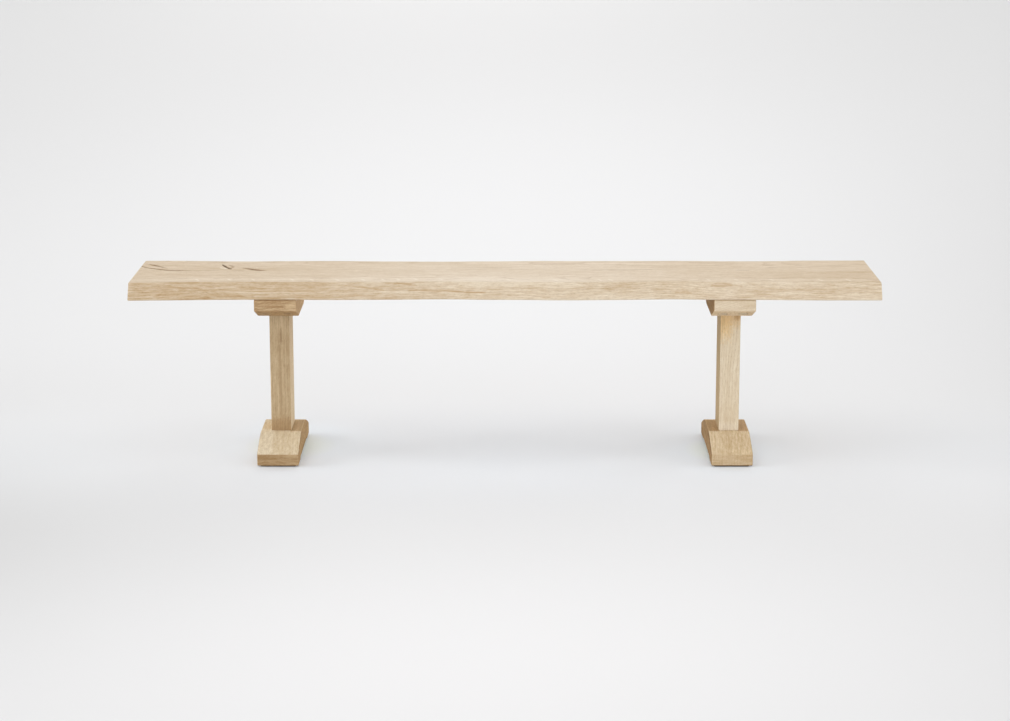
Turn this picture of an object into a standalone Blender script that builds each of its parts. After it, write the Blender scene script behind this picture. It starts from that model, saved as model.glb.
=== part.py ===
"""Trestle dining bench of solid oak.

A seat of two edge-glued planks with waney long edges rests on two trestles. Each trestle
is a bearer, a board post and an arched foot, joined by blind tenons. Four bolts a trestle
run up through slotted holes in the bearer into threaded inserts in the seat, so that the
wide seat can swell and shrink. Felt glides stand under the feet.

Units are metres. +X runs along the seat, -Y is the front and +Z is up. The origin is on
the floor, under the middle of the seat.
"""

import math

import bmesh
import bpy
from mathutils import Vector

# Clearances
GAP = 0.0003
CUT_OVERRUN = 0.004

# Seat
SEAT_LENGTH = 1.800
SEAT_HEIGHT = 0.452
SEAT_THICKNESS = 0.040
SEAT_TOP_DEPTH = 0.301
WANE_OVERHANG = 0.0229
WAVE_DEPTH = 0.016
TOP_EDGE_RADIUS = 0.0030
BOTTOM_EDGE_RADIUS = 0.0020
SEAT_END_EASE = 0.0020

# Where each long edge draws in: share of the length from the -X end, share of the wave depth
FRONT_WAVE_SHARES = (
    (0.00, 0.00), (0.05, 0.20), (0.11, 0.58), (0.20, 0.66), (0.28, 0.56), (0.35, 0.74),
    (0.42, 1.00), (0.48, 0.66), (0.54, 0.48), (0.58, 0.26), (0.65, 0.56), (0.73, 1.00),
    (0.78, 0.62), (0.85, 0.56), (0.90, 0.26), (0.95, 0.22), (1.00, 0.16),
)
REAR_WAVE_SHARES = (
    (0.00, 0.34), (0.05, 0.32), (0.10, 0.68), (0.155, 0.84), (0.21, 0.54), (0.27, 0.56),
    (0.35, 0.88), (0.40, 1.00), (0.47, 0.84), (0.55, 0.48), (0.65, 0.55), (0.74, 0.42),
    (0.83, 0.72), (0.87, 0.62), (0.91, 0.20), (0.96, 0.10), (1.00, 0.00),
)

# Splits and the knot hole in the top of the rear plank, near its -X end
SPLIT_WIDTH = 0.0026
SPLIT_DEPTH = 0.006
KNOT_WIDTH = 0.011
KNOT_DEPTH = 0.008

# Share of the length from the -X end, share of the half depth from the joint, share of the width
END_SPLIT_SHARES = ((-0.004, 0.50, 0.9), (0.008, 0.37, 1.0), (0.018, 0.27, 0.9),
                    (0.030, 0.17, 1.0), (0.043, 0.10, 0.8), (0.060, 0.06, 0.2))
SIDE_SPLIT_SHARES = ((-0.004, 0.80, 0.5), (0.006, 0.67, 0.8), (0.015, 0.56, 1.0),
                     (0.025, 0.43, 0.6), (0.034, 0.33, 0.2))
KNOT_SHARES = ((0.107, 0.66, 0.15), (0.111, 0.55, 0.8), (0.116, 0.43, 1.0),
               (0.121, 0.32, 0.8), (0.125, 0.22, 0.15))
LONG_SPLIT_SHARES = ((0.145, 0.34, 0.2), (0.150, 0.28, 0.9), (0.158, 0.17, 1.0),
                     (0.166, 0.10, 0.8), (0.180, 0.055, 0.2))

# Trestles
LEG_SPACING = 1.100
EDGE_EASE = 0.0020

FOOT_LENGTH = 0.326
FOOT_WIDTH = 0.100
FOOT_HEIGHT = 0.060
FOOT_END_HEIGHT = 0.028
FOOT_LEDGE = 0.0135
FOOT_CROWN = 0.0022
FOOT_PAD_LENGTH = 0.057
FOOT_RECESS_HEIGHT = 0.005
FOOT_RECESS_RAMP = 0.012

POST_WIDTH = 0.049
POST_DEPTH = 0.100

BEARER_LENGTH = 0.322
BEARER_WIDTH = 0.100
BEARER_HEIGHT = 0.056
BEARER_END_HEIGHT = 0.028
BEARER_LEDGE = 0.023

TENON_SHOULDER_SIDE = 0.010
TENON_SHOULDER_END = 0.014
TENON_LENGTH = 0.034
MORTISE_END_ROOM = 0.0015

GLIDE_THICKNESS = 0.003
GLIDE_MARGIN = 0.007
GLIDE_CORNER_RADIUS = 0.006

# Dowels in the glue joint of the seat
DOWEL_COUNT = 5
DOWEL_DIAMETER = 0.010
DOWEL_LENGTH = 0.060
DOWEL_CHAMFER = 0.0010
DOWEL_END_ROOM = 0.0015
DOWEL_END_DISTANCE = 0.150

# Seat bolts
BOLT_DIAMETER = 0.008
BOLT_HEAD_DIAMETER = 0.014
BOLT_HEAD_HEIGHT = 0.0045
BOLT_HEAD_ROUND = 0.0012
BOLT_SOCKET_WIDTH = 0.005
BOLT_SOCKET_DEPTH = 0.0028
BOLT_TIP_CHAMFER = 0.0010
BOLT_IN_INSERT = 0.018
BOLT_GRIP = 0.026
BOLT_END_DISTANCE = 0.050
BOLT_SIDE_DISTANCE = 0.025

WASHER_DIAMETER = 0.022
WASHER_THICKNESS = 0.0018
WASHER_BORE_CLEARANCE = 0.0004
COUNTERBORE_CLEARANCE = 0.0012
SLOT_TRAVEL = 0.006
SLOT_CLEARANCE = 0.0006

INSERT_DIAMETER = 0.012
INSERT_LENGTH = 0.021
INSERT_FLANGE_DIAMETER = 0.015
INSERT_FLANGE_THICKNESS = 0.0015
INSERT_HOLE_END_ROOM = 0.0015

# Facets
STATION_COUNT = 72
ARC_SEGMENTS = 3
CROWN_SEGMENTS = 6
ROUND_SEGMENTS = 18
EASE_SEGMENTS = 2

# Levels, from the floor up
FOOT_LEVEL = GLIDE_THICKNESS + GAP
FOOT_TOP_LEVEL = FOOT_LEVEL + FOOT_HEIGHT
SEAT_LEVEL = SEAT_HEIGHT - SEAT_THICKNESS
BEARER_TOP_LEVEL = SEAT_LEVEL - GAP
BEARER_LEVEL = BEARER_TOP_LEVEL - BEARER_HEIGHT
POST_LEVEL = FOOT_TOP_LEVEL + GAP
POST_HEIGHT = BEARER_LEVEL - GAP - POST_LEVEL
WASHER_TOP_LEVEL = BEARER_TOP_LEVEL - BOLT_GRIP - GAP
BOLT_HEAD_LEVEL = WASHER_TOP_LEVEL - WASHER_THICKNESS - GAP

# Sizes that follow from the ones above
LEG_PLACES = {"left": -LEG_SPACING / 2, "right": LEG_SPACING / 2}
BOLT_LENGTH = WASHER_THICKNESS + 2 * GAP + BOLT_GRIP + GAP + BOLT_IN_INSERT
BOLT_Y = BEARER_LENGTH / 2 - BOLT_END_DISTANCE
BOLT_X = BEARER_WIDTH / 2 - BOLT_SIDE_DISTANCE
BOLT_PLACES = [(-BOLT_X, -BOLT_Y), (BOLT_X, -BOLT_Y), (-BOLT_X, BOLT_Y), (BOLT_X, BOLT_Y)]
GLIDE_LENGTH = FOOT_PAD_LENGTH - 2 * GLIDE_MARGIN
GLIDE_WIDTH = FOOT_WIDTH - 2 * GLIDE_MARGIN
GLIDE_Y = FOOT_LENGTH / 2 - FOOT_PAD_LENGTH / 2

# Colours as seen in daylight, 0 to 255, with roughness and metallic
FINISHES = {
    "seat_oak": ((219, 201, 174), 0.55, 0.0),
    "left_leg_oak": ((190, 164, 130), 0.60, 0.0),
    "right_leg_oak": ((209, 187, 156), 0.60, 0.0),
    "beech": ((214, 180, 140), 0.65, 0.0),
    "zinc_steel": ((178, 180, 182), 0.35, 1.0),
    "brass": ((196, 164, 96), 0.35, 1.0),
    "felt": ((74, 66, 58), 0.95, 0.0),
}


def clear_scene():
    for old in list(bpy.data.objects):
        bpy.data.objects.remove(old, do_unlink=True)


# Outlines

def arc_between(start, end, sagitta, segments):
    """Points from start to end on an arc that stands out to the left by its sagitta."""
    start, end = Vector(start), Vector(end)
    chord = end - start
    left = Vector((-chord.y, chord.x)).normalized()
    points = []
    for step in range(segments + 1):
        share = step / segments
        rise = 4 * sagitta * share * (1 - share)
        points.append(start + chord * share + left * rise)
    return points


def filleted(corners, segments):
    """An outline from (point, radius) corners, each rounded by an arc of that radius."""
    points = []
    for place, (corner, radius) in enumerate(corners):
        corner = Vector(corner)
        if radius == 0:
            points.append(corner)
            continue
        before = (Vector(corners[place - 1][0]) - corner).normalized()
        after = (Vector(corners[(place + 1) % len(corners)][0]) - corner).normalized()
        half_angle = before.angle(after) / 2
        centre = corner + (before + after).normalized() * radius / math.sin(half_angle)
        first = corner + before * radius / math.tan(half_angle) - centre
        last = corner + after * radius / math.tan(half_angle) - centre
        turn = first.angle_signed(last)
        for step in range(segments + 1):
            angle = -turn * step / segments
            cosine, sine = math.cos(angle), math.sin(angle)
            points.append(centre + Vector((first.x * cosine - first.y * sine,
                                           first.x * sine + first.y * cosine)))
    return points


def smooth_through(shares, place):
    """Value at a place on a smooth curve through (place, value) pairs."""
    last = len(shares) - 1
    low = 0
    while low < last - 1 and shares[low + 1][0] < place:
        low += 1
    x1, y1 = shares[low]
    x2, y2 = shares[low + 1]
    x0, y0 = shares[low - 1] if low else (2 * x1 - x2, y1)
    x3, y3 = shares[low + 2] if low + 2 <= last else (2 * x2 - x1, y2)
    step = x2 - x1
    slope1 = (y2 - y0) / (x2 - x0) * step
    slope2 = (y3 - y1) / (x3 - x1) * step
    t = (place - x1) / step
    return ((2 * t**3 - 3 * t**2 + 1) * y1 + (t**3 - 2 * t**2 + t) * slope1
            + (3 * t**2 - 2 * t**3) * y2 + (t**3 - t**2) * slope2)


# Meshes

def mesh_of(name, shape, smooth_angle=math.radians(35)):
    """A mesh from a bmesh, with its faces turned out and its round sides smooth."""
    bmesh.ops.recalc_face_normals(shape, faces=shape.faces)
    mesh = bpy.data.meshes.new(name)
    shape.to_mesh(mesh)
    shape.free()
    mesh.shade_smooth()
    mesh.set_sharp_from_angle(angle=smooth_angle)
    return mesh


def add_loft(shape, rings):
    """Closed skin over rings of points, with a cap on the first and the last ring."""
    loops = [[shape.verts.new(point) for point in ring] for ring in rings]
    count = len(loops[0])
    for ring, following in zip(loops, loops[1:]):
        for side in range(count):
            after = (side + 1) % count
            shape.faces.new((ring[side], ring[after], following[after], following[side]))
    shape.faces.new(loops[0])
    shape.faces.new(loops[-1])
    return loops


def add_box(shape, centre, size):
    """A box with its middle at centre."""
    x, y, z = (length / 2 for length in size)
    corners = [(-x, -y), (x, -y), (x, y), (-x, y)]
    add_loft(shape, [[Vector(centre) + Vector((a, b, level)) for a, b in corners]
                     for level in (-z, z)])


def ring_at(level, radius, centre=(0.0, 0.0), across_flats=None, stretch=0.0):
    """A level ring: round, or a hexagon across its flats, or a slot stretched along Y."""
    points = []
    for step in range(ROUND_SEGMENTS):
        angle = 2 * math.pi * step / ROUND_SEGMENTS
        reach = radius
        if across_flats:
            side = math.pi / 3
            reach = across_flats / 2 / math.cos(angle % side - side / 2)
        x = reach * math.cos(angle)
        y = reach * math.sin(angle)
        y += math.copysign(stretch / 2, y)
        points.append(Vector((centre[0] + x, centre[1] + y, level)))
    return points


def prism_along_x(outline, width):
    """A solid of constant (Y, Z) outline, centred on X."""
    shape = bmesh.new()
    add_loft(shape, [[Vector((x, point.x, point.y)) for point in outline]
                     for x in (-width / 2, width / 2)])
    return shape


def turned(profile):
    """A solid of rings given as (level, radius, across flats), bottom to top."""
    shape = bmesh.new()
    add_loft(shape, [ring_at(level, radius, across_flats=flats)
                     for level, radius, flats in profile])
    return shape


def tube(profile):
    """A ring-shaped solid of (level, radius) rings that run round its section."""
    shape = bmesh.new()
    loops = [[shape.verts.new(point) for point in ring_at(level, radius)]
             for level, radius in profile]
    for place, ring in enumerate(loops):
        following = loops[(place + 1) % len(loops)]
        for side in range(ROUND_SEGMENTS):
            after = (side + 1) % ROUND_SEGMENTS
            shape.faces.new((ring[side], ring[after], following[after], following[side]))
    return shape


# Objects and modifiers

def material_of(name):
    """The Principled material of a finish, made once."""
    if name in bpy.data.materials:
        return bpy.data.materials[name]
    colour, roughness, metallic = FINISHES[name]
    linear = [((level / 255 + 0.055) / 1.055) ** 2.4 for level in colour]
    material = bpy.data.materials.new(name)
    material.use_nodes = True
    shader = material.node_tree.nodes["Principled BSDF"]
    shader.inputs["Base Color"].default_value = (*linear, 1.0)
    shader.inputs["Roughness"].default_value = roughness
    shader.inputs["Metallic"].default_value = metallic
    return material


def place_piece(name, mesh, finish, parent, location):
    """An object of this mesh at a place on its parent, with the finish on the object."""
    piece = bpy.data.objects.new(name, mesh)
    bpy.context.scene.collection.objects.link(piece)
    if not mesh.materials:
        mesh.materials.append(None)
    piece.material_slots[0].link = "OBJECT"
    piece.material_slots[0].material = material_of(finish)
    piece.parent = parent
    piece.location = location
    return piece


def place_frame(name, parent=None, location=(0.0, 0.0, 0.0)):
    frame = bpy.data.objects.new(name, None)
    bpy.context.scene.collection.objects.link(frame)
    frame.parent = parent
    frame.location = location
    return frame


def place_cutter(name, shape, parent, location):
    """A hidden tool that a Boolean takes away."""
    cutter = bpy.data.objects.new(name, mesh_of(name, shape))
    bpy.context.scene.collection.objects.link(cutter)
    cutter.parent = parent
    cutter.location = location
    cutter.hide_render = True
    cutter.display_type = "WIRE"
    return cutter


def ease_edges(piece, width, by_weight=False):
    bevel = piece.modifiers.new("Eased edges", "BEVEL")
    bevel.width = width
    bevel.segments = EASE_SEGMENTS
    bevel.limit_method = "WEIGHT" if by_weight else "ANGLE"
    bevel.angle_limit = math.radians(40)
    bevel.harden_normals = False


def cut_away(piece, cutter):
    cut = piece.modifiers.new(cutter.name, "BOOLEAN")
    cut.operation = "DIFFERENCE"
    cut.solver = "EXACT"
    cut.object = cutter


# Seat

def plank_section(inset):
    """(distance from the joint, height) points of a plank whose edge draws in by inset."""
    joint = GAP / 2
    top_edge = SEAT_TOP_DEPTH / 2 - inset
    bottom_edge = top_edge + WANE_OVERHANG
    corners = [
        ((joint, 0.0), 0),
        ((bottom_edge, 0.0), BOTTOM_EDGE_RADIUS),
        ((top_edge, SEAT_THICKNESS), TOP_EDGE_RADIUS),
        ((joint, SEAT_THICKNESS), 0),
    ]
    return filleted(corners, ARC_SEGMENTS)


def plank_mesh(name, wave_shares, side):
    """A plank from end to end, its outer edge waving in and out, on one side of the joint."""
    rings = []
    for station in range(STATION_COUNT + 1):
        share = station / STATION_COUNT
        inset = WAVE_DEPTH * max(0.0, smooth_through(wave_shares, share))
        x = SEAT_LENGTH * (share - 0.5)
        rings.append([Vector((x, side * out, height)) for out, height in plank_section(inset)])
    shape = bmesh.new()
    loops = add_loft(shape, rings)
    weight = shape.edges.layers.float.new("bevel_weight_edge")
    for loop in (loops[0], loops[-1]):
        for first, second in zip(loop, loop[1:]):
            shape.edges.get((first, second))[weight] = 1.0
    return mesh_of(name, shape)


def add_split(shape, place_shares, width, depth):
    """A V-shaped cut down into the top along a path, as wide at each place as its share says."""
    path = [Vector((SEAT_LENGTH * (along - 0.5), SEAT_TOP_DEPTH / 2 * across))
            for along, across, _ in place_shares]
    rings = []
    for place, point in enumerate(path):
        ahead = path[min(place + 1, len(path) - 1)] - path[max(place - 1, 0)]
        aside = Vector((-ahead.y, ahead.x)).normalized()
        open_share = place_shares[place][2]
        deep = depth * open_share
        half = width * open_share / 2 * (deep + CUT_OVERRUN) / deep
        top = SEAT_THICKNESS + CUT_OVERRUN
        rings.append([Vector((*(point + aside * half), top)),
                      Vector((*(point - aside * half), top)),
                      Vector((*point, SEAT_THICKNESS - deep))])
    add_loft(shape, rings)


def plank_splits():
    """The drying splits and the knot hole of the rear plank."""
    shape = bmesh.new()
    for place_shares in (END_SPLIT_SHARES, SIDE_SPLIT_SHARES, LONG_SPLIT_SHARES):
        add_split(shape, place_shares, SPLIT_WIDTH, SPLIT_DEPTH)
    add_split(shape, KNOT_SHARES, KNOT_WIDTH, KNOT_DEPTH)
    return shape


def dowel_places():
    """X of each dowel, evenly spaced between the end ones."""
    reach = SEAT_LENGTH / 2 - DOWEL_END_DISTANCE
    return [reach * (2 * step / (DOWEL_COUNT - 1) - 1) for step in range(DOWEL_COUNT)]


def seat_holes():
    """Dowel holes across the joint, and insert holes up from below with their flange seats."""
    shape = bmesh.new()
    hole_radius = DOWEL_DIAMETER / 2 + GAP
    reach = DOWEL_LENGTH / 2 + DOWEL_END_ROOM
    for x in dowel_places():
        add_loft(shape, [[Vector((x + point.x, y, SEAT_THICKNESS / 2 + point.y))
                          for point in ring_at(0.0, hole_radius)] for y in (-reach, reach)])
    flange_radius = INSERT_FLANGE_DIAMETER / 2 + GAP
    body_radius = INSERT_DIAMETER / 2 + GAP
    flange_top = INSERT_FLANGE_THICKNESS + GAP
    hole_top = INSERT_LENGTH + INSERT_HOLE_END_ROOM
    for leg_x in LEG_PLACES.values():
        for x, y in BOLT_PLACES:
            centre = (leg_x + x, y)
            add_loft(shape, [ring_at(-CUT_OVERRUN, flange_radius, centre),
                             ring_at(flange_top, flange_radius, centre),
                             ring_at(flange_top, body_radius, centre),
                             ring_at(hole_top, body_radius, centre)])
    return shape


def dowel_mesh():
    """A beech dowel along Y with chamfered ends."""
    radius = DOWEL_DIAMETER / 2
    half = DOWEL_LENGTH / 2
    shape = turned([(-half, radius - DOWEL_CHAMFER, None), (-half + DOWEL_CHAMFER, radius, None),
                    (half - DOWEL_CHAMFER, radius, None), (half, radius - DOWEL_CHAMFER, None)])
    for vert in shape.verts:
        vert.co = Vector((vert.co.x, vert.co.z, -vert.co.y))
    return mesh_of("dowel", shape)


def build_seat(bench):
    seat = place_frame("seat", bench, (0.0, 0.0, SEAT_LEVEL))
    cutter = place_cutter("seat_holes", seat_holes(), seat, (0.0, 0.0, 0.0))
    for name, wave_shares, side in (("seat_plank_front", FRONT_WAVE_SHARES, -1),
                                    ("seat_plank_rear", REAR_WAVE_SHARES, 1)):
        plank = place_piece(name, plank_mesh(name, wave_shares, side), "seat_oak", seat,
                            (0.0, 0.0, 0.0))
        ease_edges(plank, SEAT_END_EASE, by_weight=True)
        cut_away(plank, cutter)
    cut_away(plank, place_cutter("rear_plank_splits", plank_splits(), seat, (0.0, 0.0, 0.0)))
    dowel = dowel_mesh()
    for count, x in enumerate(dowel_places(), start=1):
        place_piece(f"seat_dowel_{count}", dowel, "beech", seat, (x, 0.0, SEAT_THICKNESS / 2))


# Trestle

def foot_outline():
    """(Y, Z) outline of the foot: crowned slopes, a flat for the post and a recess below."""
    half = FOOT_LENGTH / 2
    flat = POST_DEPTH / 2 + FOOT_LEDGE
    pad = half - FOOT_PAD_LENGTH
    roof = pad - FOOT_RECESS_RAMP
    rear_slope = arc_between((flat, FOOT_HEIGHT), (half, FOOT_END_HEIGHT), FOOT_CROWN,
                             CROWN_SEGMENTS)
    front_slope = [Vector((-point.x, point.y)) for point in reversed(rear_slope)]
    underside = [Vector(point) for point in (
        (half, 0.0), (pad, 0.0), (roof, FOOT_RECESS_HEIGHT),
        (-roof, FOOT_RECESS_HEIGHT), (-pad, 0.0), (-half, 0.0))]
    return front_slope + rear_slope + underside


def bearer_outline():
    """(Y, Z) outline of the bearer: flat on top, its ends sloping up from the flat below."""
    half = BEARER_LENGTH / 2
    flat = POST_DEPTH / 2 + BEARER_LEDGE
    end = BEARER_HEIGHT - BEARER_END_HEIGHT
    return [Vector(point) for point in (
        (-half, BEARER_HEIGHT), (half, BEARER_HEIGHT), (half, end), (flat, 0.0),
        (-flat, 0.0), (-half, end))]


def post_mesh():
    """The board with a blind tenon on each end. Its lower shoulder is at Z 0."""
    board = (POST_WIDTH / 2, POST_DEPTH / 2)
    tenon = (board[0] - TENON_SHOULDER_SIDE, board[1] - TENON_SHOULDER_END)
    levels = [(tenon, -TENON_LENGTH), (tenon, 0.0), (board, 0.0), (board, POST_HEIGHT),
              (tenon, POST_HEIGHT), (tenon, POST_HEIGHT + TENON_LENGTH)]
    shape = bmesh.new()
    loops = add_loft(shape, [[Vector((x, y, level)) for x, y in (
        (-half_x, -half_y), (half_x, -half_y), (half_x, half_y), (-half_x, half_y))]
        for (half_x, half_y), level in levels])
    weight = shape.edges.layers.float.new("bevel_weight_edge")
    for low, high in zip(loops[2], loops[3]):
        shape.edges.get((low, high))[weight] = 1.0
    return mesh_of("post", shape)


def mortise(bottom, top):
    """A box that clears a tenon, between two levels."""
    shape = bmesh.new()
    width = POST_WIDTH - 2 * TENON_SHOULDER_SIDE + 2 * GAP
    depth = POST_DEPTH - 2 * TENON_SHOULDER_END + 2 * GAP
    add_box(shape, (0.0, 0.0, (bottom + top) / 2), (width, depth, top - bottom))
    return shape


def bearer_pockets():
    """The mortise in the underside, and a counterbore for each bolt head."""
    shape = mortise(-CUT_OVERRUN, TENON_LENGTH - GAP + MORTISE_END_ROOM)
    radius = WASHER_DIAMETER / 2 + COUNTERBORE_CLEARANCE
    seat = BEARER_HEIGHT - BOLT_GRIP
    for place in BOLT_PLACES:
        add_loft(shape, [ring_at(-CUT_OVERRUN, radius, place), ring_at(seat, radius, place)])
    return shape


def bearer_slots():
    """A slotted hole for each bolt, long across the seat's grain."""
    shape = bmesh.new()
    radius = BOLT_DIAMETER / 2 + SLOT_CLEARANCE
    bottom = BEARER_HEIGHT - BOLT_GRIP - CUT_OVERRUN
    top = BEARER_HEIGHT + CUT_OVERRUN
    for place in BOLT_PLACES:
        add_loft(shape, [ring_at(bottom, radius, place, stretch=SLOT_TRAVEL),
                         ring_at(top, radius, place, stretch=SLOT_TRAVEL)])
    return shape


def glide_mesh():
    """A felt pad with rounded corners, its top at Z 0."""
    x = GLIDE_WIDTH / 2
    y = GLIDE_LENGTH / 2
    corners = [((-x, -y), GLIDE_CORNER_RADIUS), ((x, -y), GLIDE_CORNER_RADIUS),
               ((x, y), GLIDE_CORNER_RADIUS), ((-x, y), GLIDE_CORNER_RADIUS)]
    outline = filleted(corners, ARC_SEGMENTS)
    shape = bmesh.new()
    add_loft(shape, [[Vector((point.x, point.y, level)) for point in outline]
                     for level in (-GLIDE_THICKNESS, 0.0)])
    return mesh_of("glide", shape)


def bolt_mesh():
    """A bolt that points up, its round head below Z 0 with a hexagon socket."""
    head = BOLT_HEAD_DIAMETER / 2
    shank = BOLT_DIAMETER / 2
    flats = BOLT_SOCKET_WIDTH
    bottom = -BOLT_HEAD_HEIGHT
    return mesh_of("bolt", turned([
        (bottom + BOLT_SOCKET_DEPTH, 0.0, flats), (bottom, 0.0, flats),
        (bottom, head - BOLT_HEAD_ROUND, None), (bottom + BOLT_HEAD_ROUND, head, None),
        (0.0, head, None), (0.0, shank, None), (BOLT_LENGTH - BOLT_TIP_CHAMFER, shank, None),
        (BOLT_LENGTH, shank - BOLT_TIP_CHAMFER, None)]))


def washer_mesh():
    """A washer with its top at Z 0."""
    bore = BOLT_DIAMETER / 2 + WASHER_BORE_CLEARANCE
    rim = WASHER_DIAMETER / 2
    return mesh_of("washer", tube([(-WASHER_THICKNESS, bore), (-WASHER_THICKNESS, rim),
                                   (0.0, rim), (0.0, bore)]))


def insert_mesh():
    """A threaded insert with its flange at Z 0, open at both ends."""
    bore = BOLT_DIAMETER / 2 + GAP
    flange = INSERT_FLANGE_DIAMETER / 2
    body = INSERT_DIAMETER / 2
    return mesh_of("insert", tube([(0.0, bore), (0.0, flange), (INSERT_FLANGE_THICKNESS, flange),
                                   (INSERT_FLANGE_THICKNESS, body), (INSERT_LENGTH, body),
                                   (INSERT_LENGTH, bore)]))


def leg_meshes():
    """The meshes that both trestles share."""
    return {
        "foot": mesh_of("foot", prism_along_x(foot_outline(), FOOT_WIDTH)),
        "bearer": mesh_of("bearer", prism_along_x(bearer_outline(), BEARER_WIDTH)),
        "post": post_mesh(),
        "glide": glide_mesh(),
        "bolt": bolt_mesh(),
        "washer": washer_mesh(),
        "insert": insert_mesh(),
    }


def build_leg(side, bench, meshes):
    """One trestle with its glides and the bolts, washers and inserts that hold the seat."""
    leg = place_frame(f"{side}_leg", bench, (LEG_PLACES[side], 0.0, 0.0))
    oak = f"{side}_leg_oak"

    foot = place_piece(f"{side}_foot", meshes["foot"], oak, leg, (0.0, 0.0, FOOT_LEVEL))
    ease_edges(foot, EDGE_EASE)
    mortise_bottom = FOOT_HEIGHT - TENON_LENGTH + GAP - MORTISE_END_ROOM
    cut_away(foot, place_cutter(f"{side}_foot_mortise",
                                mortise(mortise_bottom, FOOT_HEIGHT + CUT_OVERRUN), leg,
                                (0.0, 0.0, FOOT_LEVEL)))

    post = place_piece(f"{side}_post", meshes["post"], oak, leg, (0.0, 0.0, POST_LEVEL))
    ease_edges(post, EDGE_EASE, by_weight=True)

    bearer = place_piece(f"{side}_bearer", meshes["bearer"], oak, leg, (0.0, 0.0, BEARER_LEVEL))
    ease_edges(bearer, EDGE_EASE)
    for name, shape in (("pockets", bearer_pockets()), ("slots", bearer_slots())):
        cut_away(bearer, place_cutter(f"{side}_bearer_{name}", shape, leg,
                                      (0.0, 0.0, BEARER_LEVEL)))

    for end, y in (("front", -GLIDE_Y), ("rear", GLIDE_Y)):
        place_piece(f"{side}_glide_{end}", meshes["glide"], "felt", leg,
                    (0.0, y, GLIDE_THICKNESS))
    for count, (x, y) in enumerate(BOLT_PLACES, start=1):
        place_piece(f"{side}_seat_bolt_{count}", meshes["bolt"], "zinc_steel", leg,
                    (x, y, BOLT_HEAD_LEVEL))
        place_piece(f"{side}_washer_{count}", meshes["washer"], "zinc_steel", leg,
                    (x, y, WASHER_TOP_LEVEL))
        place_piece(f"{side}_insert_{count}", meshes["insert"], "brass", leg,
                    (x, y, SEAT_LEVEL))


def build_bench():
    clear_scene()
    bench = place_frame("bench")
    build_seat(bench)
    meshes = leg_meshes()
    for side in LEG_PLACES:
        build_leg(side, bench, meshes)


build_bench()
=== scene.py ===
import math
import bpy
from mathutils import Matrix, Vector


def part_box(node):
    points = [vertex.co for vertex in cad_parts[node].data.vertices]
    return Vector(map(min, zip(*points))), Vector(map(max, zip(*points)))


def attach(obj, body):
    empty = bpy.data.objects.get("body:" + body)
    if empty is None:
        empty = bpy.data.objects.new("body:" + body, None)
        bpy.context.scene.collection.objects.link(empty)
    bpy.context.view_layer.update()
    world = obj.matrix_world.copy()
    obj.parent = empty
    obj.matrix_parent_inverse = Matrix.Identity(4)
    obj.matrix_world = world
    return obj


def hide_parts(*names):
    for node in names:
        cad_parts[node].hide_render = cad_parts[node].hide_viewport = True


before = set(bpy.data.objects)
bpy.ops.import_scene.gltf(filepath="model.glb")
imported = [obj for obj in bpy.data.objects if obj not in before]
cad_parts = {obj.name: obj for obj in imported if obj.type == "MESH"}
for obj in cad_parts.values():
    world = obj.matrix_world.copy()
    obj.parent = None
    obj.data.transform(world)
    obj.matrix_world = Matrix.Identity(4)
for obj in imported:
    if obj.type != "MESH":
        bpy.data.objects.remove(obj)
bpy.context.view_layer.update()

from types import SimpleNamespace

import bpy
import numpy as np

# Lengths are in metres, in the frame: +X along the seat, -Y the front, +Z up. Colours are display levels
# from 0 to 255. Those with an alpha, and the floor's, are linear light

# The bench, from the frame
BODY = "root"
SEAT_LOW, SEAT_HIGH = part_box("seat_plank_rear")
SEAT_TOP = SEAT_HIGH.z
SEAT_BOTTOM = SEAT_LOW.z
SEAT_HALF = SEAT_HIGH.x
JOINT = SEAT_LOW.y
FOOT_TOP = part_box("left_foot")[1].z

# How far the level top of a foot reaches to front and back, and how steeply it falls from there
FOOT_FLAT_HALF = 0.0575
FOOT_FALL = 0.303

# Camera, solved from the corners of the legs and of the seat. Lens and sensor are in millimetres
CAMERA_PLACE = (0.0, -5.9885, 1.5607)
CAMERA_PITCH = math.radians(12.544)
CAMERA_LENS = 88.66
SENSOR_WIDTH = 36.0

# Studio light. Suns: name, elevation and azimuth in degrees, from the front towards +X, and how bright
# each one alone makes a white surface that faces it
AMBIENT = 0.54
SUN_SPREAD = math.radians(36)
SUNS = (
    ("front_low", 15, 0, 0.130),
    ("right_front_low", 15, 45, 0.103),
    ("right_low", 15, 90, 0.298),
    ("right_back_low", 15, 135, 0.133),
    ("back_low", 15, 180, 0.080),
    ("left_back_low", 15, 225, 0.087),
    ("left_low", 15, 270, 0.499),
    ("front", 38, 0, 0.056),
    ("back", 38, 180, 0.126),
    ("left_front", 38, 315, 0.060),
    ("right_front_high", 62, 45, 0.032),
    ("left_front_high", 62, 315, 0.045),
)

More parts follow.
